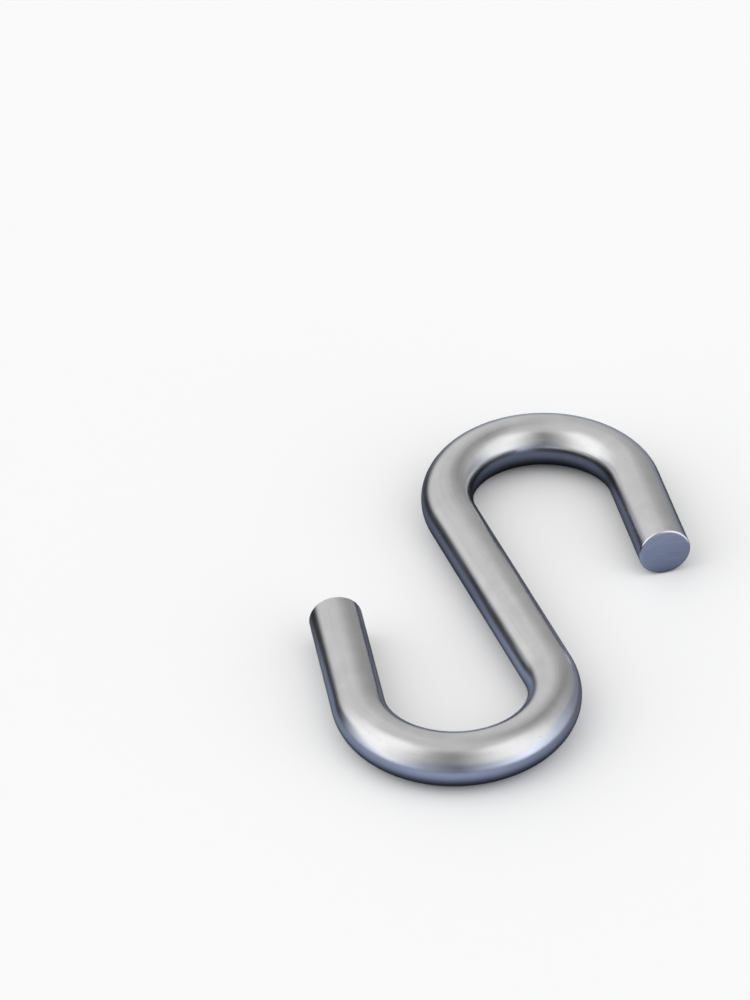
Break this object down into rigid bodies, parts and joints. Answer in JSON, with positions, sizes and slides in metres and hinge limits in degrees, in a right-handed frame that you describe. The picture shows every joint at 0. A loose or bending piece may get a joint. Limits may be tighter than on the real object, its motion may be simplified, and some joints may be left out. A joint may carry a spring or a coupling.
{
  "type": "s hook",
  "caption": "Round steel wire bent into an S, with a straight slanted shank between open eyes that face opposite ways, for hanging one thing from another.",
  "frame": {"origin": "on the surface that the hook lies on, under the middle of the straight shank", "axes": "+Z square to the plane of the hook, up from that surface; +Y along the load line, from the centre of the lower eye to the centre of the upper eye; +X towards the free end of the upper eye"},
  "size_m": [0.038, 0.064, 0.006],
  "materials": {
    "steel": "satin, drawn wire"
  },
  "bodies": {
    "root": {"hook": "steel"}
  },
  "joints": []
}
